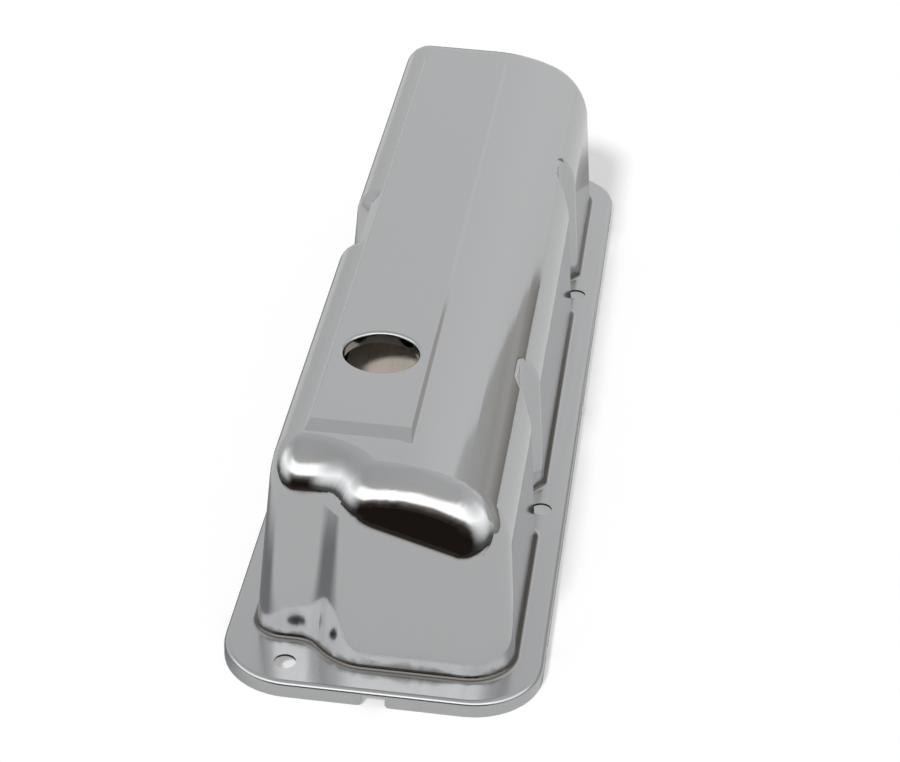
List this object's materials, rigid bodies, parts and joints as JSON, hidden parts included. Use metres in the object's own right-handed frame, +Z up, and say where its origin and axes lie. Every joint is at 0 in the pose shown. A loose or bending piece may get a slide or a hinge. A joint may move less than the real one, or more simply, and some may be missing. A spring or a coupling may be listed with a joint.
{
  "type": "engine valve cover",
  "caption": "Long pressed-steel engine valve cover, chrome plated, with a round breather hole, sloping right shoulder, notched lip and a baffle inside.",
  "frame": {"origin": "gasket side, at the middle of the lip's outline, on the lip's lower edge", "axes": "+X to the side with the sloping shoulder and two bolts, +Y along the cover away from the end with the breather hole, +Z up, away from the gasket"},
  "size_m": [0.1286, 0.46, 0.0916],
  "materials": {
    "chrome_plate": "bright chrome over pressed steel",
    "baffle_steel": "bare cold-rolled steel sheet"
  },
  "bodies": {
    "root": {"valve_cover": "chrome_plate", "oil_baffle": "baffle_steel"}
  },
  "joints": []
}
